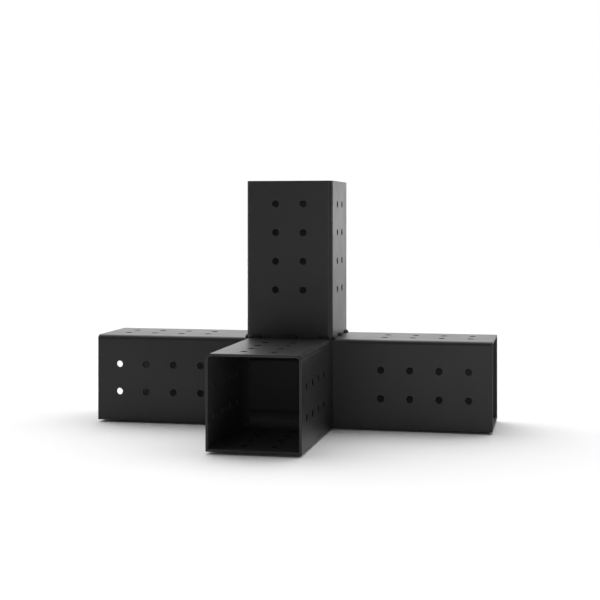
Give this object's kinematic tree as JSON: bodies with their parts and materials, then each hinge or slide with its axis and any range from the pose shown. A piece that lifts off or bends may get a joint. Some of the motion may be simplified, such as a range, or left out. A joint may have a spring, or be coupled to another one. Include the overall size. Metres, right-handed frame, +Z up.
{
  "type": "pergola post bracket",
  "caption": "Welded square-tube steel bracket that joins a timber post to beams running left, right and forward, with screw holes in every socket wall.",
  "frame": {"origin": "on the post socket's axis, in the plane of the through tube's underside", "axes": "+X along the through tube to the right, -Y along the front sleeve towards the viewer, +Z up along the post sleeve"},
  "size_m": [0.4506, 0.2768, 0.2768],
  "materials": {
    "powder_coat": "semi-gloss black powder coat",
    "coated_weld": "black powder coat over weld beads"
  },
  "bodies": {
    "root": {"through_tube": "powder_coat", "front_sleeve": "powder_coat", "post_sleeve": "powder_coat", "weld_front_left": "coated_weld", "weld_front_middle": "coated_weld", "weld_front_right": "coated_weld", "weld_right_near": "coated_weld", "weld_right_middle": "coated_weld", "weld_right_far": "coated_weld", "weld_left_near": "coated_weld", "weld_left_middle": "coated_weld", "weld_left_far": "coated_weld", "weld_rear_left": "coated_weld", "weld_rear_middle": "coated_weld", "weld_rear_right": "coated_weld", "weld_under_left": "coated_weld", "weld_under_middle": "coated_weld", "weld_under_right": "coated_weld"}
  },
  "joints": []
}
